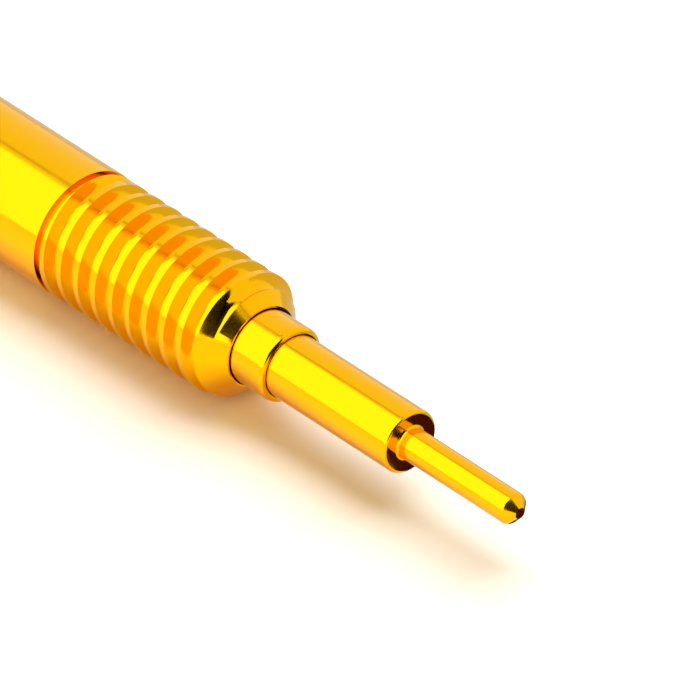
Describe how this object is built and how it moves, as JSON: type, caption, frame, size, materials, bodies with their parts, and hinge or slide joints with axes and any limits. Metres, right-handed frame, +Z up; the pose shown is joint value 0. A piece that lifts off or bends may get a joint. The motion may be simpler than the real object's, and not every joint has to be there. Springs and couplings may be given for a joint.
{
  "type": "screw-in spring contact probe (pogo pin)",
  "caption": "Gold-plated spring contact probe: threaded round barrel, guide tube with a rolled mouth, sprung stepped plunger and round solder tail.",
  "frame": {"origin": "on the probe's axis, in the plane of the shoulder where the smooth barrel ends and the thread starts", "axes": "+X along the axis towards the contact tip, +Z up, the probe lying horizontal"},
  "size_m": [0.0284, 0.0024, 0.0024],
  "materials": {
    "body_gold": "hard gold plating over turned brass, bright with fine turning marks",
    "tube_gold": "gold plating over drawn nickel silver tube, smooth and bright",
    "plunger_gold": "hard gold plating over turned beryllium copper, polished",
    "spring_steel": "drawn spring wire, semi-bright",
    "terminal_gold": "gold plating over turned brass, satin"
  },
  "bodies": {
    "fixed_body": {"threaded_body": "body_gold", "inner_tube": "tube_gold", "rear_terminal": "terminal_gold", "plunger_spring": "spring_steel"},
    "sliding_plunger": {"plunger": "plunger_gold"}
  },
  "joints": [
    {"name": "plunger_travel", "type": "slide", "parent": "fixed_body", "child": "sliding_plunger", "axis": [-1, 0, 0], "range_m": [0, 0.0028], "stiffness_N_per_m": 365, "springref_m": -0.002, "deforming": ["plunger_spring"]}
  ]
}
